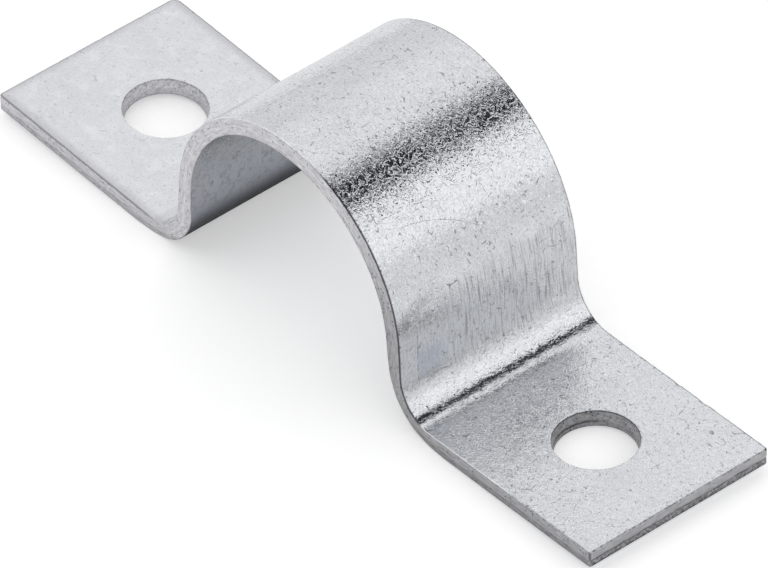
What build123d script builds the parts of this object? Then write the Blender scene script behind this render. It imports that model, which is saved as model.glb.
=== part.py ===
from build123d import *
import os
from math import cos, radians, sin

# Screw-on pipe clamp: one steel strip, cut to length, pressed over a round former and punched
# twice. The saddle holds the pipe from above and the two lugs are screwed down beside it.
#
# X runs along the clamp from lug to lug, Y runs along the pipe and Z points up.
# The origin is on the mounting plane, midway between the lugs and midway across the strip.
# The mounting plane touches the strip under its two foot bends.

# Driving dimensions, in millimetres and degrees
strip_width = 25.0
strip_thickness = 2.0
pipe_radius = 16.0  # the saddle's inner face
leg_splay = 3.0  # how far each leg leans out from upright
leg_length = 4.7  # the straight stretch between saddle and foot bend
foot_radius = 4.0  # the hollow, upper side of the bend from leg to lug
lug_length = 26.1  # the flat stretch from foot bend to cut end
lug_lift = 1.75  # how far the lugs spring up towards their ends after pressing
hole_radius = 4.75
hole_to_end = 13.2  # from the hole's centre to the cut end, along the lug
rolled_edge = 0.15  # round on the upper edges, where the shear and the punch went in
broken_edge = 0.1  # chamfer on the lower edges, where the burr was knocked off
plain_corner = 0.35  # a lug corner, seen from above
nipped_corner = 1.0  # the one lug corner that the shear pulled round

# Half of the strip's underside turns at these points, given as X and Z
splay = radians(leg_splay)
lift = radians(lug_lift)
sole_radius = foot_radius + strip_thickness
saddle_height = sole_radius * (1 - sin(splay)) + leg_length * cos(splay) - pipe_radius * sin(splay)
saddle_end = (pipe_radius * cos(splay), saddle_height + pipe_radius * sin(splay))
leg_end = (saddle_end[0] + leg_length * sin(splay), saddle_end[1] - leg_length * cos(splay))
foot_centre = (leg_end[0] + sole_radius * cos(splay), sole_radius)
lug_start = (foot_centre[0] + sole_radius * sin(lift), sole_radius * (1 - cos(lift)))
lug_end = (lug_start[0] + lug_length * cos(lift), lug_start[1] + lug_length * sin(lift))
hole_x = lug_end[0] - hole_to_end * cos(lift)


def height_in_sheet(edge):
    """How far through the sheet the middle of an edge lies, measured up from the underside."""
    middle = edge @ 0.5
    return underside.distance_to(Vector(abs(middle.X), middle.Z))


with BuildPart() as clamp_strap:
    # Half of the underside is one smooth line: saddle, leg, foot bend and lug. Set off by the
    # sheet's thickness and mirrored, it becomes the whole strip seen edge on.
    with BuildSketch(Plane.XZ):
        with BuildLine() as half_outline:
            CenterArc((0, saddle_height), pipe_radius, 90, leg_splay - 90)
            Line(saddle_end, leg_end)
            CenterArc(foot_centre, sole_radius, 180 + leg_splay, 90 - leg_splay + lug_lift)
            Line(lug_start, lug_end)
            underside = half_outline.wires()[0]
            offset(amount=strip_thickness, side=Side.LEFT)
        make_face()
        mirror(about=Plane.YZ)
    extrude(amount=strip_width / 2, both=True)

    # The punch went in square to the mounting plane, so that both screws stand upright
    with Locations((hole_x, 0), (-hole_x, 0)):
        Hole(hole_radius)

    # Seen from above, the lug corners are rounded a little, and one of them more
    corners = clamp_strap.edges().filter_by(Axis.Y, reverse=True).filter_by(
        lambda edge: abs(edge.center().X) > lug_end[0] - strip_thickness
    )
    nipped = corners.sort_by(Axis.X)[:2].sort_by(Axis.Y)[-1:]
    fillet(corners - nipped, radius=plain_corner)
    fillet(nipped, radius=nipped_corner)

    # Every outer edge and hole rim is rounded above and broken below. The bend lines across
    # the strip stay smooth.
    bend_lines = clamp_strap.edges().filter_by(Axis.Y).filter_by(
        lambda edge: abs(edge.center().X) < hole_x
    )
    rims = clamp_strap.edges() - bend_lines
    near_a_face = strip_thickness / 4
    upper_rims = rims.filter_by(lambda edge: height_in_sheet(edge) > strip_thickness - near_a_face)
    lower_rims = rims.filter_by(lambda edge: height_in_sheet(edge) < near_a_face)
    fillet(upper_rims, radius=rolled_edge)
    chamfer(lower_rims, length=broken_edge)

clamp_strap.part.label = "clamp_strap"
os.makedirs("parts", exist_ok=True)
export_step(clamp_strap.part, "parts/clamp_strap.step")
print(f"Screw holes {2 * hole_x:.2f} mm apart, crown {clamp_strap.part.bounding_box().max.Z:.2f} mm high")
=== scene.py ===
# %% [markdown]
# # A screw-on pipe clamp, pressed from one strip
#
# The real clamp starts as a flat strip of steel. A shear cuts it to length, a punch makes two
# holes, a press bends it over a round bar, and a plating bath leaves a grey skin of zinc. This
# lesson makes the mesh in that order, because each step leaves marks that show in a close
# picture: torn bands on the cut faces, holes that taper, edges that swell at the bends.

import math

import bpy
import numpy as np
from mathutils import Matrix, Vector, noise


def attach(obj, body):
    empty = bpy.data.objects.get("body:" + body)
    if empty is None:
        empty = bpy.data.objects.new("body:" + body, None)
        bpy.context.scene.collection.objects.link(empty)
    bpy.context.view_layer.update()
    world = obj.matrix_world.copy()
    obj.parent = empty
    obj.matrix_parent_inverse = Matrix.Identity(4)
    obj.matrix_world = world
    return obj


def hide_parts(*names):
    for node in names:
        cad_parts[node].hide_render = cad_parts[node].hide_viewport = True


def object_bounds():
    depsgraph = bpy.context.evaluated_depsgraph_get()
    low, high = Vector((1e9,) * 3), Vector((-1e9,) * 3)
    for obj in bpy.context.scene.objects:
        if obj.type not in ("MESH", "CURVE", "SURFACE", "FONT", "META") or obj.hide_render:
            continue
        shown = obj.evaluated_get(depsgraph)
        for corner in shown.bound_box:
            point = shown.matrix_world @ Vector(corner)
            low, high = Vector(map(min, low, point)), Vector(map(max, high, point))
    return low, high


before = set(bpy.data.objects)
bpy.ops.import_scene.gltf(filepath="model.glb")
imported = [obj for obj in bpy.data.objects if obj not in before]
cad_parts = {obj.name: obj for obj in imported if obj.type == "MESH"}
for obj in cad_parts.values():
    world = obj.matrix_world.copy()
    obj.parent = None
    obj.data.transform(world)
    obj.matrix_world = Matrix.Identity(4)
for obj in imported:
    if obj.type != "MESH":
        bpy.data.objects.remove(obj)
cad_low, cad_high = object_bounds()
print("CAD box in mm:", [round(1000 * v, 2) for v in (*cad_low, *cad_high)])

# %% [markdown]
# ## The line of the strip
#
# Seen along the pipe, the underside of the strip is arcs and straights that meet smoothly. It
# could be drawn point by point. A list of stretches, each with a length and the angle that it
# turns through, says more: it is what the press does, and one running sum gives every point.

# %% Driving sizes, in metres and radians
MM = 0.001
strip_thickness = 2.0 * MM
strip_half_width = 12.43 * MM  # where the strip is flat; its edges swell at the bends
pipe_radius = 16.0 * MM
leg_splay = math.radians(3.0)
lug_lift = math.radians(1.75)
hole_to_end = 13.2 * MM
saddle_turn = math.pi / 2 - leg_splay
foot_turn = saddle_turn + lug_lift

# The die left the foot bend easy below the leg, tight in its hollow and easy again at the lug
foot_bend = [(6.80 * MM, 0.628), (1.70 * MM, 0.192), (1.95 * MM, 0.180)]  # (length, share of turn)
foot_length = sum(length for length, share in foot_bend)
sole_radius = foot_length / foot_turn
print(f"foot bends {foot_length / MM:.2f} mm long, on average {sole_radius / MM:.2f} mm in radius")

# %% [markdown]
# The leg and the lug are straight. They take up whatever height and length the bends leave, so
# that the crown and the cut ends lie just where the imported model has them.


# %% The leg and the lug take up the rest
def advance(heading, length, turn):
    """How far an arc goes outwards and down, when it sets out at this heading."""
    radius = length / turn
    return (radius * (math.sin(heading + turn) - math.sin(heading)),
            radius * (math.cos(heading) - math.cos(heading + turn)))


bends = [(pipe_radius * saddle_turn, saddle_turn)]
bends += [(length, -share * foot_turn) for length, share in foot_bend]
bends_out = bends_down = start_heading = 0.0
for length, turn in bends:
    out, down = advance(start_heading, length, turn)
    bends_out += out
    bends_down += down
    start_heading += turn
crown_drop = cad_high[2] - strip_thickness
leg_length = (crown_drop - bends_down) / math.sin(saddle_turn)
lug_length = (cad_high[0] - bends_out - leg_length * math.cos(saddle_turn)) / math.cos(lug_lift)

# From the crown to the cut end: (length along the underside, turn towards the ground)
stretches = [bends[0], (leg_length, 0.0), *bends[1:], (lug_length, 0.0)]
knots = np.cumsum([0.0] + [length for length, turn in stretches])
turns = np.cumsum([0.0] + [turn for length, turn in stretches])
saddle_reach, foot_start, cut_end = knots[1], knots[2], knots[-1]
hole_at = cut_end - hole_to_end
print(f"legs {leg_length / MM:.2f} mm and lugs {lug_length / MM:.2f} mm long")
print(f"blank {2 * cut_end / MM:.1f} mm long")


# %% Walk along the underside
step = 0.02 * MM
soft_turn = 0.6 * MM  # a press turns into and out of a bend over about this length
swell_reach = 4.0 * MM  # and the strip's edges feel the bend over this one
walk = np.arange(0, cut_end + step, step)


def soft_heading(reach):
    """How far the strip has turned at each step of the walk, with its changes eased."""
    window = int(reach / step) | 1
    sharp = np.interp(walk, knots, turns)
    beyond = window // 2
    padded = np.concatenate([-sharp[beyond:0:-1], sharp, np.full(beyond, sharp[-1])])
    return np.convolve(padded, np.ones(window) / window, mode="valid")


def running_sum(values):
    """The area under values, from the crown to each step of the walk."""
    return np.concatenate([[0], np.cumsum((values[1:] + values[:-1]) / 2 * step)])


heading = soft_heading(soft_turn)
walk_x = running_sum(np.cos(heading))
walk_z = -running_sum(np.sin(heading))
walk_z -= walk_z.min()
bending = np.gradient(soft_heading(swell_reach), step)
in_saddle = np.clip(bending * pipe_radius, 0, 1)
in_foot = np.clip(-bending * sole_radius, 0, 1)
crown_height = walk_z[0] + strip_thickness
print(f"crown {crown_height / MM:.2f} mm high, cut end at {walk_x[-1] / MM:.2f} mm")

# %% [markdown]
# ## The flat blank
#
# A grid of quads covers the blank, with closer lines near its outline, where the shear pulled
# it round. Each hole sits in a square patch of its own: rings of quads run from the square to
# the circle, so the rim is a true circle and no face is cut ragged. A boolean cut would be
# shorter to write, but it leaves slivers that shine wrongly on metal. The same layout serves
# both skins, and the cut faces join them ring by ring.

# %% Grid lines of a skin
cell = 0.35 * MM
fine_lines = 6
fine_reach = 1.2 * MM
line_crowding = 1.3  # how strongly the fine lines close up on the edge
edge_roll = 0.12 * MM  # the skins end this far in, where the blade pulled them round


def grid_lines(half_size):
    """Lines from -half_size to half_size: even in the middle, closer near both ends."""
    inner = half_size - fine_reach
    even = np.linspace(-inner, inner, 2 * round(inner / cell) + 1)
    left = 1 - np.arange(1, fine_lines + 1) / fine_lines
    closer = inner + fine_reach * (1 - left ** line_crowding)
    return np.concatenate([-closer[::-1], even, closer])


lines_s = grid_lines(cut_end - edge_roll)
lines_y = grid_lines(strip_half_width - edge_roll)
lattice = np.arange(len(lines_s) * len(lines_y)).reshape(len(lines_s), len(lines_y))
skin_s, skin_y = (grid.ravel() for grid in np.meshgrid(lines_s, lines_y, indexing="ij"))
print(f"{len(lines_s)} by {len(lines_y)} lines")


# %% Round the four corners
plain_corner = 0.35 * MM
nipped_corner = 1.0 * MM  # the one that the shear pulled round
corner_radii = {(1, -1): plain_corner, (1, 1): plain_corner, (-1, -1): plain_corner,
                (-1, 1): nipped_corner}
for (end, flank), radius in corner_radii.items():
    centre_s = cut_end - radius
    centre_y = strip_half_width - radius
    out_s = end * skin_s - centre_s
    out_y = flank * skin_y - centre_y
    corner = (out_s > 0) & (out_y > 0)
    squeeze = np.maximum(out_s, out_y)[corner] / np.hypot(out_s, out_y)[corner]
    skin_s[corner] = end * (centre_s + out_s[corner] * squeeze)
    skin_y[corner] = flank * (centre_y + out_y[corner] * squeeze)


def loop_round(square):
    """The vertices round the border of a block of the lattice, in order."""
    return np.array([*square[:-1, 0], *square[-1, :-1], *square[:0:-1, -1], *square[0, :0:-1]])


def outward(loop_s, loop_y):
    """The direction across a closed loop, away from what it goes round, at each vertex."""
    along_s = np.roll(loop_s, -1) - np.roll(loop_s, 1)
    along_y = np.roll(loop_y, -1) - np.roll(loop_y, 1)
    size = np.hypot(along_s, along_y)
    return along_y / size, -along_s / size


outline = loop_round(lattice)
print(f"{len(outline)} vertices round the outline")

# %% Open the two holes
hole_radius = 4.74 * MM  # at the upper skin
hole_roll = 0.06 * MM
patch_cells = 40
patch_rings = 10
ring_crowding = 1.25  # how strongly the rings close up on the hole
free = np.ones((len(lines_s) - 1, len(lines_y) - 1), bool)
first_y = (len(lines_y) - 1 - patch_cells) // 2
skin_quads = []
rims = []
for side in (-1, 1):
    middle = int(np.argmin(np.abs(lines_s - side * hole_at)))
    first_s = middle - patch_cells // 2
    free[first_s:first_s + patch_cells, first_y:first_y + patch_cells] = False
    square = lattice[first_s:first_s + patch_cells + 1, first_y:first_y + patch_cells + 1]
    ring = loop_round(square)
    square_s, square_y = skin_s[ring], skin_y[ring]
    angle = np.arctan2(square_y, square_s - side * hole_at)
    rim_s = side * hole_at + (hole_radius + hole_roll) * np.cos(angle)
    rim_y = (hole_radius + hole_roll) * np.sin(angle)
    for number in range(1, patch_rings + 1):
        share = (1 - number / patch_rings) ** ring_crowding
        next_ring = np.arange(len(skin_s), len(skin_s) + len(ring))
        skin_s = np.concatenate([skin_s, rim_s + (square_s - rim_s) * share])
        skin_y = np.concatenate([skin_y, rim_y + (square_y - rim_y) * share])
        skin_quads.append(np.stack([ring, np.roll(ring, -1), np.roll(next_ring, -1), next_ring], 1))
        ring = next_ring
    rims.append(ring)

skin_quads.append(np.stack([lattice[:-1, :-1][free], lattice[1:, :-1][free],
                            lattice[1:, 1:][free], lattice[:-1, 1:][free]], 1))
skin_quads = np.concatenate(skin_quads)
print(f"{len(skin_quads)} quads on a skin")

# %% [markdown]
# ## The cut faces
#
# Shears and punches cut only part of the way. First the steel rolls over the blade, then it is
# cut to a smooth burnished band, and at last it tears, which leaves a rougher band set back a
# little. The punch came from below, so both holes taper: they are wider on the upper side,
# where they tore out. Each cut face is a profile of rows down through the sheet, carried round
# the outline or round a hole.

# %% Profiles of the cut faces
roll_steps = 4
wall_depths = (0.03, 0.15, 0.30, 0.42, 0.52, 0.60, 0.72, 0.86)  # of the sheet's thickness
shear_setback = 0.05 * MM
burr_bevel = 0.05 * MM
hole_taper = 0.23 * MM  # in the radius, from top to bottom
taper_curve = 0.7  # below 1, most of the taper is near the top


def shear_lean(depth):
    """How far the sheared face stands out at a depth, from where it starts below the roll."""
    return -shear_setback if depth > 0.5 else 0.0


def punch_lean(depth):
    """How far the hole's wall stands in at a depth: it tore out wide above."""
    return hole_taper * depth ** taper_curve


def cut_profile(roll, lean):
    """Rows of a cut face from the top: (out from the skin's border, height, share of cut)."""
    rows = []
    for number in range(1, roll_steps + 1):
        share = number / roll_steps
        turn = share * math.pi / 2
        up = strip_thickness - roll * (1 - math.cos(turn))
        rows.append((roll * math.sin(turn), up, share ** 4))
    wall_height = strip_thickness - roll
    for depth in wall_depths:
        rows.append((roll + lean(depth), wall_height * (1 - depth), 1.0))
    rows.append((roll + lean(1.0), burr_bevel, 1.0))
    rows.append((roll + lean(1.0) - burr_bevel, 0.0, 1.0))
    return rows


for name, rows in (("shear", cut_profile(edge_roll, shear_lean)),
                   ("punch", cut_profile(hole_roll, punch_lean))):
    print(name, [(round(out / MM, 2), round(up / MM, 2)) for out, up, share in rows])

# %% Join the two skins into one closed sheet
count = len(skin_s)
sheet_s = np.concatenate([skin_s, skin_s])
sheet_y = np.concatenate([skin_y, skin_y])
sheet_up = np.concatenate([np.full(count, strip_thickness), np.zeros(count)])
cut_share = np.zeros(2 * count)  # 0 on the skins and 1 on the cut faces
edge_line = np.zeros(2 * count)  # 1 on the roll between the upper skin and a cut face
quads = [skin_quads, skin_quads[:, ::-1] + count]
loops = [(outline, edge_roll, shear_lean, 1)] + [(rim, hole_roll, punch_lean, -1) for rim in rims]
for loop, roll, lean, facing in loops:
    across_s, across_y = outward(skin_s[loop], skin_y[loop])
    edge_line[loop] = 1.0
    upper = loop
    for number, (out, up, share) in enumerate(cut_profile(roll, lean)):
        lower = np.arange(len(sheet_s), len(sheet_s) + len(loop))
        sheet_s = np.concatenate([sheet_s, skin_s[loop] + facing * out * across_s])
        sheet_y = np.concatenate([sheet_y, skin_y[loop] + facing * out * across_y])
        sheet_up = np.concatenate([sheet_up, np.full(len(loop), up)])
        cut_share = np.concatenate([cut_share, np.full(len(loop), share)])
        edge_line = np.concatenate([edge_line, np.full(len(loop), float(number < roll_steps - 1))])
        band = np.stack([upper, lower, np.roll(lower, -1), np.roll(upper, -1)], 1)
        quads.append(band if facing == 1 else band[:, ::-1])
        upper = lower
    band = np.stack([upper, loop + count, np.roll(loop, -1) + count, np.roll(upper, -1)], 1)
    quads.append(band if facing == 1 else band[:, ::-1])
quads = np.concatenate(quads)
print(f"{len(sheet_s)} vertices, {len(quads)} quads")

# %% [markdown]
# ## Marks of the press
#
# Where a strip bends, its squeezed side grows wider and its stretched side narrower, so the
# edges lean, and a close look shows it at the feet. The shear's knife left nicks in one edge,
# the torn bands are rough, and no sheet is quite flat. All of this is moved on the blank, where
# across and through are plain axes. The same smooth noise gives the same sheet each run.


# %% Smooth noise on the blank
def wander(s, y, up, size, seed):
    """Noise from about -1 to 1 that changes over this size."""
    shift = Vector((seed * 17.3, seed * 5.1, seed * 9.7))
    places = np.stack([s, y, up], 1) / size
    return np.array([noise.noise(Vector(place) + shift) for place in places])


def smooth_step(values, start, end):
    """0 up to start, 1 from end on, and smooth between them."""
    share = np.clip((values - start) / (end - start), 0, 1)
    return share * share * (3 - 2 * share)


blank_s, blank_y, blank_up = sheet_s.copy(), sheet_y.copy(), sheet_up.copy()
reach_s = np.abs(sheet_s)
depth = 1 - sheet_up / strip_thickness
cuts = cut_share > 0
print(f"{cuts.sum()} vertices lie on cut faces")

# %% Say where each cut face tore
end_reach = 0.3 * MM
upper_tear = (0.30, 0.42)  # shares of the depth between which a torn band ends
lower_tear = (0.52, 0.60)  # and between which the other one starts
from_hole = np.hypot(reach_s - hole_at, sheet_y)
in_hole = cuts & (from_hole < hole_radius + cell)
at_end = cuts & (reach_s > cut_end - end_reach)
tore_above = 1 - smooth_step(depth, *upper_tear)
tore_below = smooth_step(depth, *lower_tear)
torn_share = np.where(at_end, tore_below, np.maximum(tore_above, 0.6 * tore_below))
torn_share = np.where(in_hole, 1 - tore_below, torn_share) * cuts
inner_wall = cuts & (depth > 0.02) & (depth < 0.95)
print(f"{at_end.sum()} cut vertices at the ends, {in_hole.sum()} in the holes")

# %% Roughen the cut faces
burnished_rough = 0.012  # in mm
torn_rough = 0.03  # and what a torn band adds to it
rough_size = 0.5 * MM
rough = (burnished_rough + torn_rough * torn_share[inner_wall]) * MM
wall_s, wall_y, wall_up = sheet_s[inner_wall], sheet_y[inner_wall], sheet_up[inner_wall]
sheet_s[inner_wall] += rough * wander(wall_s, wall_y, wall_up, rough_size, 1)
sheet_y[inner_wall] += rough * wander(wall_s, wall_y, wall_up, rough_size, 2)
print(f"{inner_wall.sum()} rough vertices")

# %% Let the tear line waver, and chip the upper edge
waver = 0.10 * MM
waver_size = 1.6 * MM
chip_depth = 0.035 * MM
chip_size = 0.9 * MM
tear_line = cuts & (depth > 0.25) & (depth < 0.75)
sheet_up[tear_line] += waver * wander(sheet_s[tear_line], sheet_y[tear_line],
                                      0 * sheet_up[tear_line], waver_size, 3)
near_top = cuts & ~in_hole & (depth < 0.2)
chips = wander(sheet_s[near_top], sheet_y[near_top], 0 * sheet_up[near_top], chip_size, 6)
sheet_up[near_top] -= chip_depth * smooth_step(chips, 0.25, 0.6)
print(f"{tear_line.sum()} vertices on the tear line, {near_top.sum()} at the upper edge")

# %% Nicks in the back edge of one lug
nicks = [  # (distance from the crown, half length, depth)
    (43.6 * MM, 0.20 * MM, 0.04 * MM),
    (50.0 * MM, 0.25 * MM, 0.07 * MM),
    (54.0 * MM, 0.50 * MM, 0.07 * MM),
]
nick_reach = 0.30 * MM  # in from the edge
near_skin = smooth_step(sheet_up, 0.4 * strip_thickness, strip_thickness)
for at, half_length, nick_depth in nicks:
    bite = np.exp(-(((sheet_s - at) / half_length) ** 2)) * near_skin
    from_edge = strip_half_width - sheet_y
    bite *= np.exp(-((from_edge / nick_reach) ** 2))
    sheet_y -= nick_depth * bite
    sheet_up -= nick_depth * bite
print(f"{len(nicks)} nicks")

# %% Let the edges swell at the bends
squeezed = 1 - 2 * blank_up / strip_thickness  # 1 at the underside and -1 at the upper skin
swell_fade = 2.5 * MM  # how far in from the edges the swell is felt
saddle_swell = (0.02 + 0.04 * squeezed) * MM
foot_swell = (-0.11 - 0.16 * squeezed) * MM
swell = (np.interp(reach_s, walk, in_saddle) * saddle_swell
         + np.interp(reach_s, walk, in_foot) * foot_swell)
sheet_y += np.sign(sheet_y) * swell * np.exp((np.abs(blank_y) - strip_half_width) / swell_fade)
print(f"widest {2 * np.abs(sheet_y).max() / MM:.2f} mm")

# %% Let the sheet wander, inwards at the saddle and upwards at the feet
uneven = 0.035 * MM
drift_size = 9 * MM
inwards = 1 - 2 * smooth_step(reach_s, saddle_reach - 3 * MM, foot_start + 1 * MM)
drift = 0.5 + 0.5 * wander(blank_s, blank_y, 0 * blank_up, drift_size, 4)
sheet_up -= inwards * uneven * drift
print(f"the sheet wanders by up to {uneven * drift.max() / MM:.3f} mm")

# %% [markdown]
# ## The bend
#
# The press bends the blank in one stroke. A curve modifier could bend a mesh too, but it would
# treat the sheet as a skin without thickness and leave its place on the blank unknown. Here each
# vertex goes to its own point of the walk along the underside, and then up through the sheet,
# square to that line. Its old place is kept with it, because the finish is laid on the blank.

# %% Bend the blank
side = np.sign(sheet_s)
turn = np.interp(np.abs(sheet_s), walk, heading)
places = np.stack([
    side * (np.interp(np.abs(sheet_s), walk, walk_x) + sheet_up * np.sin(turn)),
    sheet_y,
    np.interp(np.abs(sheet_s), walk, walk_z) + sheet_up * np.cos(turn),
], 1)
used = np.unique(quads)
renumber = np.zeros(len(places), int)
renumber[used] = np.arange(len(used))
bent = places[used]
for word, corner in (("from", bent.min(0)), ("to", bent.max(0))):
    print(f"bent strip {word} ({', '.join(f'{v / MM:.2f}' for v in corner)}) mm")

# %% Make the mesh, and keep at its vertices what the finish needs to know
mesh = bpy.data.meshes.new("bent_strip")
mesh.from_pydata(bent.tolist(), [], renumber[quads].tolist())
mesh.validate()
mesh.shade_smooth()
blank_place = mesh.attributes.new("blank_mm", "FLOAT_VECTOR", "POINT")
blank_place.data.foreach_set(
    "vector", (np.stack([blank_s, blank_y, blank_up], 1)[used] / MM).astype(np.float32).ravel())
for name, values in (("cut_face", cut_share), ("torn_face", torn_share), ("edge_line", edge_line)):
    kept = mesh.attributes.new(name, "FLOAT", "POINT")
    kept.data.foreach_set("value", values[used].astype(np.float32))
strip = bpy.data.objects.new("bent_strip", mesh)
bpy.context.scene.collection.objects.link(strip)
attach(strip, "root")
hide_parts("clamp_strap")
print(f"bent_strip has {len(mesh.vertices)} vertices and {len(mesh.polygons)} faces")

# %% [markdown]
# ## Shader maths as Python
#
# A finish is arithmetic on patterns: this grain times that mask, less those pits. Drawn as
# nodes it soon fills a screen. Two small classes let it be written as sums instead: one wraps a
# socket, so that + and * add Math nodes, and one holds a material and adds any other node.


# %% A value that changes over the surface
class Value:
    """One output of a node. Arithmetic on it adds Math nodes."""

    def __init__(self, finish, socket):
        self.finish = finish
        self.socket = socket

    def output(self, name):
        """Another output of the same node."""
        return Value(self.finish, self.finish.socket(self.socket.node.outputs, name))

    def __add__(self, other):
        return self.finish.math("ADD", self, other)

    def __sub__(self, other):
        return self.finish.math("SUBTRACT", self, other)

    def __rsub__(self, other):
        return self.finish.math("SUBTRACT", other, self)

    def __mul__(self, other):
        return self.finish.math("MULTIPLY", self, other)

    def __abs__(self):
        return self.finish.math("ABSOLUTE", self)

    __radd__ = __add__
    __rmul__ = __mul__

    def between(self, start, end):
        """0 up to start, 1 from end on, and smooth between them."""
        return self.finish.node("ShaderNodeMapRange", {"interpolation_type": "SMOOTHSTEP"},
                                {"Value": self, "From Min": start, "From Max": end})

    def near(self, centre, reach):
        """1 at the centre, and down to 0 at this reach on both sides."""
        return 1 - abs(self - centre).between(0, reach)


print("a value that changes over the surface can be added, subtracted and multiplied")


# %% A material and its nodes
class Finish:
    """A material. node() adds any node and gives its first output, or a named one."""

    def __init__(self, name):
        self.material = bpy.data.materials.new(name)
        self.material.use_nodes = True
        self.tree = self.material.node_tree
        self.tree.nodes.clear()

    def node(self, kind, settings=None, inputs=None, output=None):
        """Adds a node: its settings come first, then its sockets' values or links."""
        node = self.tree.nodes.new(kind)
        for name, value in (settings or {}).items():
            setattr(node, name, value)
        for name, value in (inputs or {}).items():
            socket = self.socket(node.inputs, name)
            if isinstance(value, Value):
                self.tree.links.new(value.socket, socket)
            else:
                socket.default_value = value
        if not node.outputs:
            return None
        return Value(self, self.socket(node.outputs, 0 if output is None else output))

    def math(self, operation, *terms):
        """A Math node, for numbers."""
        return self.node("ShaderNodeMath", {"operation": operation}, dict(enumerate(terms)))

    def vector_math(self, operation, *terms, output=None):
        """A Vector Math node, for vectors and colours."""
        return self.node("ShaderNodeVectorMath", {"operation": operation}, dict(enumerate(terms)),
                         output)

    def part(self, vector, axis):
        """The part of a vector or colour along an axis."""
        return self.vector_math("DOT_PRODUCT", vector, axis, output="Value")

    def socket(self, sockets, name):
        """A socket by its number or name; of those that share a name, the one in use."""
        if isinstance(name, int):
            return sockets[name]
        return next(socket for socket in sockets if socket.name == name and socket.enabled)


print("shader helpers are ready")

# %% [markdown]
# ## The zinc
#
# Barrel-plated zinc is a bright grey metal with a fine grain. Where a dark thing mirrors in it,
# each grain tips the mirror image its own way, so the dark breaks up like salt and pepper. That
# is relief and not colour, so each grain gets a normal of its own. Tumbling in the barrel adds
# pinholes, flecks, curls and hair scratches. All patterns are laid on the flat blank in
# millimetres, so they run round the bends with the steel and never stretch.

# %% Places on the blank
zinc = Finish("zinc_plated_steel")
blank = zinc.node("ShaderNodeAttribute", {"attribute_name": "blank_mm"}, output="Vector")
on_cut = zinc.node("ShaderNodeAttribute", {"attribute_name": "cut_face"}, output="Fac")
torn = zinc.node("ShaderNodeAttribute", {"attribute_name": "torn_face"}, output="Fac")
at_edge = zinc.node("ShaderNodeAttribute", {"attribute_name": "edge_line"}, output="Fac")
along_mm = zinc.node("ShaderNodeSeparateXYZ", inputs={"Vector": blank})
across_mm = along_mm.output("Y")
height_mm = along_mm.output("Z")
reach_mm = abs(along_mm)
on_upper = height_mm.between(1.5, 1.9) * (1 - on_cut)
inside = 1 - height_mm.between(0.02, 0.10)
end_mm = cut_end / MM
print(f"along the blank from {-end_mm:.1f} to {end_mm:.1f} mm, and across and up through it")


# %% Patterns laid on the blank
def stretched(factors, shift=(0, 0, 0)):
    """The place on the blank, scaled by a factor each way and shifted."""
    return zinc.vector_math("MULTIPLY_ADD", blank, factors, shift)


def cloud(size_mm, detail=2.0, rough=0.5, shift=(0, 0, 0), bent=0.0):
    """Soft noise from 0 to 1 whose blobs have this size; the shift keeps two noises apart."""
    return zinc.node("ShaderNodeTexNoise", inputs={
        "Vector": stretched((1 / size_mm,) * 3, shift), "Scale": 1.0, "Detail": detail,
        "Roughness": rough, "Distortion": bent})


def cells(size_mm, shift=(0, 0, 0)):
    """Random cells of about this size: the distance from each one's middle."""
    return zinc.node("ShaderNodeTexVoronoi", inputs={
        "Vector": stretched((1 / size_mm,) * 3, shift), "Scale": 1.0})


def draw_of(pattern):
    """A random draw from 0 to 1 for each cell of a pattern."""
    return zinc.part(pattern.output("Color"), (1, 0, 0))


grain = cloud(0.13, detail=1.0, rough=0.6)
crumple = cloud(0.85, detail=2.0, rough=0.50, shift=(3, 8, 6), bent=1.0)
folds = abs(crumple - 0.5).between(0.0, 0.075)  # curly creases
crystals = cells(0.17, shift=(4, 2, 7))
peel = cloud(1.5, detail=1.0, shift=(5, 0, 2))
mottle = cloud(4.0, detail=3.0, rough=0.6, shift=(2, 9, 4))
patches = cloud(9.0, detail=1.0, shift=(7, 3, 1))
print("grain, crumple, folds, crystals, peel, mottle and patches")

# %% [markdown]
# ## Marks of the barrel
#
# In the plating barrel many clamps tumble over each other, which leaves pinholes, flecks and
# scratches. A picture could hold them, but it would blur up close and repeat. Each kind is a
# rule instead. Dots sit in the middle of random cells, and a random draw says which cells have
# one. Hooks and curls are short pieces of the contour lines of a soft noise. Hair scratches are
# thin rows that sway, and a second noise says where a row shows.


# %% Pinholes, pits, flecks, hooks and curls
def dots(size_mm, radius, chance, shift):
    """Small round dots in some of the cells; the radius is in cell sizes."""
    middles = cells(size_mm, shift)
    drawn = draw_of(middles).between(1 - chance, 1.02 - chance)
    return (1 - middles.between(radius * 0.6, radius)) * drawn


def worms(size_mm, width, amount, shift):
    """Short bent hairs: pieces of the contour lines of a soft noise."""
    line = 1 - abs(cloud(size_mm, detail=0.0, shift=shift) - 0.5).between(width * 0.4, width)
    there = cloud(size_mm * 0.8, detail=0.0, shift=(shift[1], shift[2], shift[0]))
    return line * there.between(1 - amount, 1.10 - amount)


busy = cloud(6.0, detail=2.0, shift=(4, 4, 4)).between(0.35, 0.65)
pinholes = dots(0.34, 0.20, busy * 0.22 + 0.12, (8, 1, 5))
pits = dots(1.6, 0.07, busy * 0.4 + 0.1, (2, 6, 3))
flecks = dots(0.36, 0.20, busy * 0.20 + 0.10, (1, 7, 9))
hooks = worms(0.60, 0.045, busy * 0.05 + 0.37, (6, 2, 8))
curls = worms(1.4, 0.024, 0.36, (3, 5, 2))
print("pinholes, pits, flecks, hooks and curls")


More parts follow.
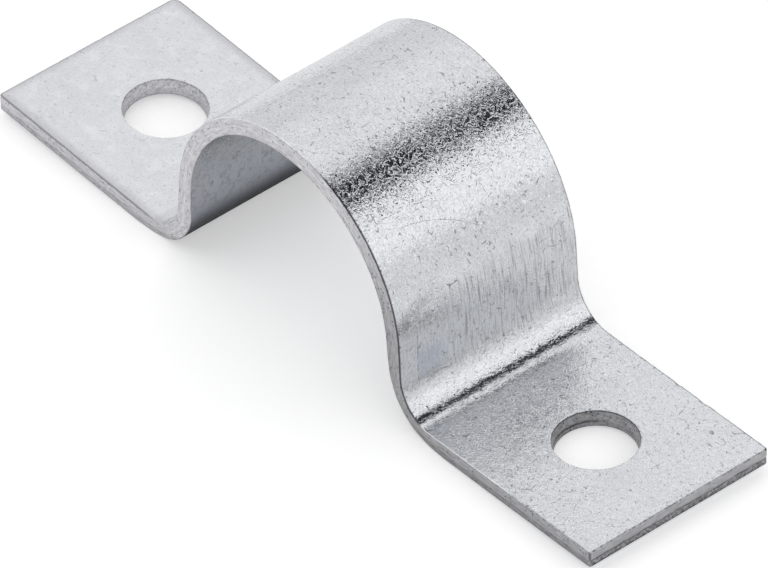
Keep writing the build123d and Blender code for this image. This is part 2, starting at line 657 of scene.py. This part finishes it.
# %% Hair scratches
def scratches(length_mm, width_mm, turned, seed, amount):
    """Short thin lines, all turned about the same way and a little bent."""
    turned_place = zinc.node("ShaderNodeVectorRotate", {"rotation_type": "Z_AXIS"}, {
        "Vector": blank, "Angle": math.radians(turned)})
    bent_place = zinc.vector_math("MULTIPLY_ADD", turned_place, (1 / length_mm, 1.0, 1.0),
                                  (seed * 3.7, seed * 1.9, 0))
    sway = zinc.node("ShaderNodeTexNoise", inputs={
        "Vector": bent_place, "Scale": 0.8, "Detail": 1.0})
    row = zinc.part(bent_place, (0, 1, 0))
    ridge = zinc.math("FRACT", row * 0.35 + sway * 2.0)
    line = 1 - abs(ridge - 0.5).between(0, width_mm)
    there = zinc.node("ShaderNodeTexNoise", inputs={
        "Vector": bent_place, "Scale": 1.7, "Detail": 0.0})
    return line * there.between(1 - amount, 1.04 - amount)


hairs = (scratches(4.0, 0.012, 12, 1, 0.35) + scratches(3.2, 0.010, 97, 2, 0.34)
         + scratches(3.6, 0.010, -38, 3, 0.34))
print("hair scratches in three directions")

# %% [markdown]
# ## Scratches with a place of their own
#
# A few scratches are long enough to know again. Each is one bowed line on the blank, given by
# its middle, its length, the way it points and how far it bows. Its mask is the distance from
# that line, which needs no picture and stays sharp however close the camera comes.


# %% One bowed line, or several
def bowed_line(along, across, length, turned, bow, width=0.065):
    """A scratch, in millimetres and degrees; positive bow bends its middle to its left."""
    place = zinc.node("ShaderNodeMapping", {"vector_type": "TEXTURE"}, {
        "Vector": blank, "Location": (along, across, 0), "Rotation": (0, 0, math.radians(turned))})
    from_middle = zinc.part(place, (1, 0, 0))
    aside = zinc.part(place, (0, 1, 0)) - bow + from_middle * from_middle * (4 * bow / length ** 2)
    return (1 - abs(aside).between(width * 0.3, width)) * (
        1 - abs(from_middle).between(length * 0.42, length * 0.5))


def bowed_lines(first, *others):
    """The mask of several scratches together."""
    return sum((bowed_line(*line) for line in others), bowed_line(*first))


print("lines can be drawn on the blank")

# %% Draw the scratches that stand out
# (along, across, length, turned, bow), and the width of the few that are wide
upper_marks = bowed_lines(
    (14.9, -3.4, 9.6, 68, 0.7),
    (21.3, 8.25, 1.6, 92, 0.0),
    (22.3, 9.8, 3.0, 80, -0.3),
    (-5.0, 0.6, 3.2, -20, 0.5),
    (-3.6, 4.6, 2.8, 62, -0.4),
    (1.7, -5.6, 1.8, -25, 0.1),
    (49.4, 5.5, 2.6, -35, 0.1),
    (29.4, 4.6, 6.4, 2, 0.25),
    (26.6, 3.7, 3.4, 5, 0.1),
    (26.9, -9.9, 7.4, -2, 0.0, 0.11),
    (30.4, -7.3, 2.6, 88, 0.1, 0.16),
    (20.2, 11.95, 1.8, 0, 0.0, 0.12),
    (50.0, 12.2, 0.7, 0, 0.0, 0.15),
    (54.0, 12.2, 1.2, 0, 0.0, 0.15),
)
inner_marks = bowed_lines(
    (-26.0, -5.8, 3.8, 35, 0.15),
    (-28.4, -7.0, 2.2, 85, -0.2),
    (-27.6, -2.5, 2.4, 80, 0.3),
    (-24.4, -1.5, 3.0, 50, 0.4),
)
broken = 0.35 + cloud(0.7, detail=2.0, shift=(8, 8, 1)).between(0.42, 0.52) * 0.65
marks = zinc.math("MINIMUM", upper_marks * on_upper + inner_marks * inside, 1.0) * broken
# A speckled smear of painted shade, where the saddle turns into the leg and mirrors the dark
shade_smear = bowed_line(21.0, -9.0, 7.4, 117, 0.4, width=1.2) * on_upper * crumple.between(0.35, 0.6)
print("the scratches that stand out, and one smear")

# %% [markdown]
# ## Streaks on the legs, and a crease below them
#
# The die dragged along the outside of both legs as it pressed them down, and ironed the zinc
# into fine upright lines on a duller ground, which is darkened further as painted shade. Lines
# could be placed one by one, but there are hundreds. A noise stretched far along the strip gives
# them all, and a mask keeps them between the last of the saddle's arc and the start of the foot
# bend. Two noises fray its borders. In the hollow of that bend the die crushed the zinc, and a
# plain mask marks the place.

# %% Die streaks
ragged = (cloud(2.5, detail=2.0, shift=(1, 6, 2)) - 0.5) * 6.0
frayed = (cloud(0.5, detail=2.0, shift=(9, 2, 2)) - 0.5) * 4.0
ironed = ((reach_mm + ragged).between(18.5, 22.5) * on_upper
          * (1 - (reach_mm + frayed).between(30.2, 31.6)))


def drag_lines(length_mm, width_mm, shift):
    """Lines along the strip, as a noise of this length and width."""
    return zinc.node("ShaderNodeTexNoise", inputs={
        "Vector": stretched((1 / length_mm, 1 / width_mm, 0.0), shift), "Scale": 1.0,
        "Detail": 1.0, "Roughness": 0.6})


streaks = drag_lines(6.0, 0.30, (0, 0, 0)).between(0.54, 0.70)
streaks = (streaks + drag_lines(2.5, 0.18, (5, 3, 0)).between(0.52, 0.68) * 0.8) * ironed
streaks = streaks * (0.25 + across_mm.between(-7.0, -3.0) * 0.75)
print("streaks")

# %% The crease in the hollow of the foot bends
crushed = reach_mm.between(33.8, 35.0) * (1 - reach_mm.between(37.8, 39.6)) * on_upper
print("crease")

# %% [markdown]
# ## Colours of the zinc
#
# Metal has no paint on it. Its colour is what it gives back of the light that it mirrors, so
# the colours of its large areas lie close together, and many darks come from the studio. The
# deepest, on the underside and under the foot bends, are painted shade, and the legs carry some
# painted shade too. One colour ramp over one noise would be quick, but every mark would then
# grow and fade with the others. Here each kind of mark has its own mask, laid over the last
# with a Mix node.

# %% Zinc from bright to dark
pale_zinc = (0.830, 0.847, 0.882, 1.0)
dull_zinc = (0.440, 0.451, 0.472, 1.0)
fleck_and_highlight_white = (0.940, 0.945, 0.955, 1.0)
ironed_and_shaded_zinc = (0.600, 0.605, 0.612, 1.0)
blue_zinc = (0.430, 0.470, 0.540, 1.0)
shaded_zinc = (0.300, 0.330, 0.380, 1.0)
dark_spot_and_shade = (0.200, 0.205, 0.215, 1.0)
mauve_rim = (0.470, 0.455, 0.480, 1.0)
near_black = (0.060, 0.062, 0.068, 1.0)


def mix(mask, first, second):
    """The first colour where the mask is 0 and the second where it is 1."""
    return zinc.node("ShaderNodeMix", {"data_type": "RGBA"}, {
        "Factor": mask, "A": first, "B": second}, output="Result")


print("nine colours and a way to mix them")

# %% Tone of the skin
lively = 0.38 + along_mm.between(-34, -14) * 0.62  # the grain fades towards the left lug
fine_drag = drag_lines(1.6, 0.15, (2, 8, 0)) - 0.5
tone = (0.30 + (mottle - 0.5) * 0.30 + (draw_of(crystals) - 0.5) * lively * 0.30
        + (0.5 - crumple) * lively * 0.20 + (0.5 - grain) * lively * 1.15
        + fine_drag * ironed * 1.4)
skin_colour = mix(tone, pale_zinc, dull_zinc)
# The legs' duller ground: zinc ironed by the die, and painted shade of the dark that the legs
# mirror
skin_colour = mix(ironed * 0.50, skin_colour, ironed_and_shaded_zinc)
print("tone of the skin")

# %% A bluish patch, a darker inside, a whitish left lug and darker rims
blue_patch = (along_mm.between(25.4, 26.6) * (1 - along_mm.between(29.6, 30.4))
              * across_mm.between(-9.9, -9.7) * (1 - across_mm.between(-7.4, -5.4)) * on_upper)
skin_colour = mix(blue_patch * 0.45, skin_colour, blue_zinc)
inside_shade = (0.50 * reach_mm.between(1.0, 22.0) + 0.40 * reach_mm.between(25.0, 31.0)
                - 0.35 * reach_mm.between(34.0, 38.0))
skin_colour = mix(inside * inside_shade * (0.8 + crumple * 0.4), skin_colour, shaded_zinc)
# Painted shade: the underside of each foot bend is nearly black where it turns to the ground
foot_shade = inside * reach_mm.between(27.5, 31.5) * (1 - reach_mm.between(34.0, 38.0))
skin_colour = mix(foot_shade * 0.6, skin_colour, near_black)
whitish = cloud(1.9, detail=3.0, rough=0.55, shift=(6, 3, 3), bent=0.5).between(0.46, 0.74)
skin_colour = mix(whitish * (1 - lively) * on_upper * 0.5, skin_colour, fleck_and_highlight_white)
rim_shade = zinc.math("MAXIMUM", abs(across_mm).between(11.0, 12.2), reach_mm.between(62.9, 64.1))
skin_colour = mix(rim_shade * (1 - lively) * 0.8, skin_colour, mauve_rim)
print("patches and shades")

# %% Wear over the skin, with a smear of painted shade
skin_colour = mix(streaks * 0.48, skin_colour, dark_spot_and_shade)
wear_and_shade = hairs * 0.42 + hooks * lively * 0.76 + pinholes * lively * 0.88 + pits * 0.6
wear_and_shade = wear_and_shade + curls * lively * on_upper * 0.74 + marks * 0.6 + shade_smear * 0.3
wear_and_shade = wear_and_shade + inside * (1 - crumple.between(0.35, 0.55)) * 0.35
skin_colour = mix(zinc.math("MINIMUM", wear_and_shade, 0.85), skin_colour, dark_spot_and_shade)
skin_colour = mix(flecks * on_upper * 0.8, skin_colour, fleck_and_highlight_white)
print("wear over the skin")

# %% [markdown]
# ## Colours of the cut faces
#
# A cut face never touched the die. Its burnished band is bright, its torn band is dull and
# pitted, and along its lower edge the torn burr is darker still, with painted shadow where it
# meets the ground. All of them darken towards the right end, as painted shade. Each face could
# have a material of its own, with a hard seam where it meets the skin. Here the mesh says at
# each vertex how far it is cut and torn, and one material blends.

# %% Where the cut faces lie
burnished = (0.802, 0.792, 0.822, 1.0)
torn_steel = (0.486, 0.478, 0.502, 1.0)
wall_limits = (24.0, 25.0)  # squared distances from a hole's middle, in square millimetres
# Painted shade: every cut face darker towards the right end
right_end_shade = along_mm.between(8.0, 24.0)
end_face = on_cut * reach_mm.between(end_mm - 0.3, end_mm - 0.2)
hole_gap = reach_mm - hole_at / MM
hole_wall = on_cut * (1 - (hole_gap * hole_gap + across_mm * across_mm).between(*wall_limits))
print("masks for the end faces, the hole walls and the dull end")

# %% Grain, pits and tear of the cut faces
grain_way = mix(hole_wall, (0.8, 0.8, 5.0, 1.0), (2.6, 2.6, 3.4, 1.0))  # along, across, up
cut_grain = zinc.node("ShaderNodeTexNoise", inputs={
    "Vector": stretched(grain_way), "Scale": 1.0, "Detail": 2.0, "Roughness": 0.6})
cut_pits = dots(0.40, 0.36, 0.18 + torn * 0.22, (5, 5, 1))
tear_edge = torn.near(0.5, 0.45) * (0.35 + end_face * 0.65)
cut_colour = mix(torn * 0.15 + (cut_grain - 0.38) * 2.4 + (cut_grain - 0.6) * hole_wall * 1.2,
                 burnished, torn_steel)
# Painted shade towards the right end, a little more on the end faces and hole walls
cut_colour = mix(right_end_shade * (0.34 + end_face * 0.06 + hole_wall * 0.08), cut_colour, near_black)
cut_colour = mix(cut_pits * (0.55 + right_end_shade * 0.20), cut_colour, near_black)
cut_colour = mix(tear_edge * (0.25 + right_end_shade * 0.6) * cut_grain.between(0.3, 0.6), cut_colour,
                 near_black)
print("grain, pits and tear of the cut faces")

# %% Burr and painted shadow along the lower edge, and the speckled torn half
# Along the lower edge of each cut face: the dark torn burr, and painted shadow where it meets the
# ground
burr_and_shade = (1 - height_mm.between(0.02, 0.14)) * (0.3 + right_end_shade * 0.3)
speckle = cloud(0.32, detail=1.0, shift=(2, 2, 5)).between(0.44, 0.56)
# On the end faces: a dark line where the tear starts, the speckled torn lower half, and painted
# shade near the ground
torn_shade = (height_mm.near(0.84, 0.12) * 0.55
              + (1 - height_mm.between(0.70, 0.90)) * (0.10 + speckle * 0.50)
              + (1 - height_mm.between(0.20, 0.50)) * 0.25)
burr_and_shade = burr_and_shade + end_face * right_end_shade * torn_shade
lower_half = 1 - height_mm.between(0.70, 0.95)
# The lower half of the cut faces is darker from the foot bends out to the ends
burr_and_shade = burr_and_shade + lower_half * reach_mm.between(34.0, 37.0) * (1 - end_face) * 0.22
print("burr and torn half")

# %% Corner tip and hole walls
tip_share = 0.59  # a rounded corner's tip lies this share of its radius inside the square one
corner_tip = (cut_end + strip_half_width - tip_share * plain_corner) / MM
corner_shade = (along_mm - across_mm).between(corner_tip - 0.09, corner_tip - 0.02)
burr_and_shade = burr_and_shade + corner_shade * 0.7
# Painted shade on the right hole's wall, on the side towards the saddle, most at mid height
near_saddle = hole_wall * right_end_shade * (1 - hole_gap.between(-4.2, -2.2))
burr_and_shade = burr_and_shade + near_saddle * (height_mm.near(0.62, 0.24) * 0.55 + 0.12)
dashes = cloud(0.5, detail=2.0, rough=0.6, shift=(7, 7, 3)).between(0.50, 0.60)
# A painted reflection: the rolled rim of each hole drawn as a dark line at the top of its wall, in
# dashes and darker to the right
rim_reflection = 0.1 + right_end_shade * 0.5 + dashes * 0.4
wall_shade = height_mm.between(1.80, 1.90) * rim_reflection + speckle * right_end_shade * 0.18
burr_and_shade = burr_and_shade + hole_wall * wall_shade
cut_colour = mix(zinc.math("MINIMUM", burr_and_shade, 1.0), cut_colour, near_black)
colour = mix(on_cut, skin_colour, cut_colour)
print("corner tip and hole walls")

# %% [markdown]
# ## The line along the upper edges
#
# The shear rolled each upper edge over, and that roll mirrors a narrow part of the room. It
# draws a thin black line along the front edge of the right leg and round the holes, a weaker
# one along the back edge, the cut ends and the left lug, and a bright one along the right lug
# and the left leg. The roll is about a pixel wide, so mirroring alone leaves it a plain grey,
# and both lines are painted: the mesh says which vertices lie on a roll, and masks along the
# strip darken it into a painted reflection and brighten it into a painted highlight.

# %% Dark line, a painted reflection
on_front = 1 - across_mm.between(-12.2, -11.9)
black_stretch = along_mm.between(3.0, 7.0) * (1 - along_mm.between(34.0, 37.0) * 0.6) * on_front
faint_stretch = along_mm.between(-10.0, -5.0) * on_front
back_line = across_mm.between(11.9, 12.2)
end_line = reach_mm.between(end_mm - 0.5, end_mm - 0.3)
lug_line = (1 - along_mm.between(-40.0, -36.0)) * on_front
line_mask = black_stretch * 0.92 + lug_line * 0.5 + hole_wall * (0.55 + dashes * 0.4)
dashed_reflection = dashes * (0.12 + faint_stretch * 0.25 + right_end_shade * 0.25)
line_mask = zinc.math("MAXIMUM", line_mask, back_line * 0.45 + end_line * 0.35 + dashed_reflection)
print("dark line")

# %% Bright line, a painted highlight, and both laid over the colour
bright_stretch = (along_mm.between(35.0, 37.0) * (1 - along_mm.between(48.0, 56.0))
                  + along_mm.between(-36.0, -33.0) * (1 - along_mm.between(0.0, 4.0)) * 0.7)
bright_stretch = bright_stretch * on_front * (1 - on_cut.between(0.05, 0.20))
colour = mix(at_edge * line_mask, colour, near_black)
colour = mix(at_edge * bright_stretch * 0.8, colour, fleck_and_highlight_white)
print("bright line")

# %% [markdown]
# ## Relief and gloss
#
# Crumples, folds and grain are a hundredth of a millimetre deep. Moved vertices would take
# millions of faces, so a Bump node tips the light instead. It smooths away what is smaller than
# a pixel, though, and a crystal is. So each crystal also tips the normal by a random draw of
# its own, before the bump. A few tip it far, and they sparkle in the dark band over the saddle.

# %% Relief
pressed = along_mm.between(5.0, 8.0) * (1 - along_mm.between(11.0, 15.0)) * on_upper
lug_pressed = along_mm.between(37.5, 39.0) * (1 - along_mm.between(43.0, 50.0) * 0.6) * on_upper
calm = 1 - crushed * 0.55
grain_depth = 0.011 + patches.between(0.40, 0.62) * 0.008
fold_depth = 0.004 + pressed * 0.013 + lug_pressed * 0.011
fine_relief = (grain * grain_depth * calm + crumple * (0.014 + crushed * 0.028)
               + folds * fold_depth * calm)
relief = fine_relief * lively + peel * 0.03 + cut_grain * on_cut * 0.04
print("relief, in millimetres")

# %% Crystals that each tip the light their own way
rare_crystals = draw_of(cells(0.23, shift=(1, 1, 6))).between(0.80, 0.82)
tilt = (0.052 + pressed * 0.02 + rare_crystals * (0.28 + lug_pressed * 0.14)) * lively * calm
facet = zinc.vector_math("SUBTRACT", crystals.output("Color"), (0.5, 0.5, 0.5))
facet = zinc.node("ShaderNodeVectorMath", {"operation": "SCALE"}, {0: facet, "Scale": tilt})
plain_normal = zinc.node("ShaderNodeNewGeometry", output="Normal")
tipped = zinc.vector_math("NORMALIZE", zinc.vector_math("ADD", plain_normal, facet))
bump = zinc.node("ShaderNodeBump", inputs={"Height": relief, "Distance": MM, "Normal": tipped})
print("tipped crystals and bump")

# %% Gloss, and the finished zinc
gloss = 0.10 + mottle * 0.04 + crushed * 0.015 + ironed * 0.08 + on_cut * 0.20 + torn * 0.06
surface = zinc.node("ShaderNodeBsdfPrincipled", inputs={
    "Base Color": colour, "Metallic": 1.0, "Roughness": gloss, "Normal": bump})
# Under the foot bends, where the strip turns to the ground, a near-black matt finish covers most of
# the metal: painted shade
shade_diffuse = zinc.node("ShaderNodeBsdfDiffuse", inputs={"Color": near_black})
surface = zinc.node("ShaderNodeMixShader", inputs={0: foot_shade * 0.85, 1: surface, 2: shade_diffuse})
zinc.node("ShaderNodeOutputMaterial", inputs={"Surface": surface})
strip.data.materials.append(zinc.material)
print(f"{len(zinc.tree.nodes)} nodes in the zinc")

# %% [markdown]
# ## The studio
#
# Metal shows its surroundings, so the studio is part of the finish. On each side of the clamp
# hang two long softboxes, a low one and a high one of their own brightness, with a narrow gap
# overhead. The dark band over the saddle and the dark line in the foot bend are both the mirror
# image of that gap, so one strip of black card there gives both. Small lamps would light the
# clamp, but would not draw it.


# %% Flat sheets with a plain finish
def sheet_of(name, low, high):
    """A flat rectangle on the floor's plane, between two corners given as X and Y."""
    flat = bpy.data.meshes.new(name)
    flat.from_pydata([(low[0], low[1], 0), (high[0], low[1], 0), (high[0], high[1], 0),
                      (low[0], high[1], 0)], [], [(0, 1, 2, 3)])
    card = bpy.data.objects.new(name, flat)
    bpy.context.scene.collection.objects.link(card)
    return card


def plain(name, colour, glow, mirrored_glow):
    """A matt finish that also glows a little for the camera, and less in mirrors."""
    matt = Finish(name)
    to_camera = matt.node("ShaderNodeLightPath", output="Is Camera Ray")
    in_mirror = matt.math("MAXIMUM", to_camera.output("Is Glossy Ray"),
                          to_camera.output("Is Transmission Ray"))
    body = matt.node("ShaderNodeBsdfDiffuse", inputs={"Color": colour})
    glowing = matt.node("ShaderNodeEmission", inputs={
        "Color": colour, "Strength": to_camera * glow + in_mirror * mirrored_glow})
    both = matt.node("ShaderNodeAddShader", inputs={0: body, 1: glowing})
    matt.node("ShaderNodeOutputMaterial", inputs={"Surface": both})
    return matt.material


print("sheets and plain finishes are ready")

# %% White floor
floor_reach = 4.0
floor_white = (0.95, 0.95, 0.95, 1.0)
floor = sheet_of("floor", (-floor_reach, -floor_reach), (floor_reach, floor_reach))
floor.data.materials.append(plain("white_floor", floor_white, glow=0.40, mirrored_glow=0.20))
print("floor laid")

# %% Hang the softboxes
studio_radius = 0.6
studio_middle_y = 0.30
studio_length = 1.8


def hang(thing, degrees, distance):
    """Hangs a thing over the clamp, facing it, turned from upright towards +X by degrees."""
    lean = math.radians(degrees)
    thing.location = (distance * math.sin(lean), studio_middle_y, distance * math.cos(lean))
    thing.rotation_euler = (0, lean, 0)
    thing.visible_camera = False


def softbox(name, start, end, brightness):
    """A long lamp that fills the view from the clamp between two angles from upright."""
    half = math.radians(end - start) / 2
    lamp = bpy.data.lights.new(name, "AREA")
    lamp.shape = "RECTANGLE"
    lamp.size = 2 * studio_radius * math.sin(half)
    lamp.size_y = studio_length
    lamp.energy = brightness * math.pi * lamp.size * lamp.size_y
    holder = bpy.data.objects.new(name, lamp)
    bpy.context.scene.collection.objects.link(holder)
    hang(holder, (start + end) / 2, studio_radius * math.cos(half))


# (name, the angles from upright between which it fills the view, brightness)
softbox("low_left_softbox", -86, -50, 0.395)
softbox("high_left_softbox", -50, -2, 0.50)
softbox("high_right_softbox", 26, 66, 0.645)
softbox("low_right_softbox", 66, 88, 0.388)
print("softboxes hung")

# %% Black card in the gap
card_lean = 14.5  # degrees from upright
card_half_angle = math.radians(9.0)
card_black = (0.02, 0.02, 0.02, 1.0)
card_width = 2 * studio_radius * math.tan(card_half_angle)
black_card = sheet_of("black_card", (-card_width / 2, -studio_length / 2),
                      (card_width / 2, studio_length / 2))
hang(black_card, card_lean, studio_radius)
black_card.data.materials.append(plain("black_card", card_black, glow=0.0, mirrored_glow=0.0))
print(f"card {card_width / MM:.0f} mm wide, {card_lean} degrees from upright")

# %% White surroundings
sky_strength = 0.45
world = bpy.data.worlds.new("studio")
world.use_nodes = True
sky = world.node_tree.nodes["Background"]
sky.inputs["Color"].default_value = (1.0, 1.0, 1.0, 1.0)
sky.inputs["Strength"].default_value = sky_strength
bpy.context.scene.world = world
bpy.context.scene.view_settings.view_transform = "Standard"
print("surroundings set")

# %% [markdown]
# ## The camera
#
# The picture is a product shot through a long lens from far off, so parallel edges stay almost
# parallel. The angles, the distance and the aim come from fitting the clamp's edges to the
# picture: the camera stands to the right, looks well down, and is rolled by less than a degree.

# %% Camera at the photograph's angle
azimuth = math.radians(49.727)  # from straight in front, towards +X
elevation = math.radians(41.513)
roll = math.radians(-0.409)
distance = 1.40294
aim = Vector((0.010238, -0.007807, 0.012))
view = bpy.data.cameras.new("camera")
view.sensor_width = 36.0
view.lens = 625.0
camera = bpy.data.objects.new("camera", view)
bpy.context.scene.collection.objects.link(camera)
pointing = (Matrix.Rotation(azimuth, 4, "Z") @ Matrix.Rotation(math.pi / 2 - elevation, 4, "X")
            @ Matrix.Rotation(roll, 4, "Z"))
camera.matrix_world = Matrix.Translation(aim) @ pointing @ Matrix.Translation((0, 0, distance))
bpy.context.scene.camera = camera
print("camera at", [round(v, 4) for v in camera.matrix_world.translation])
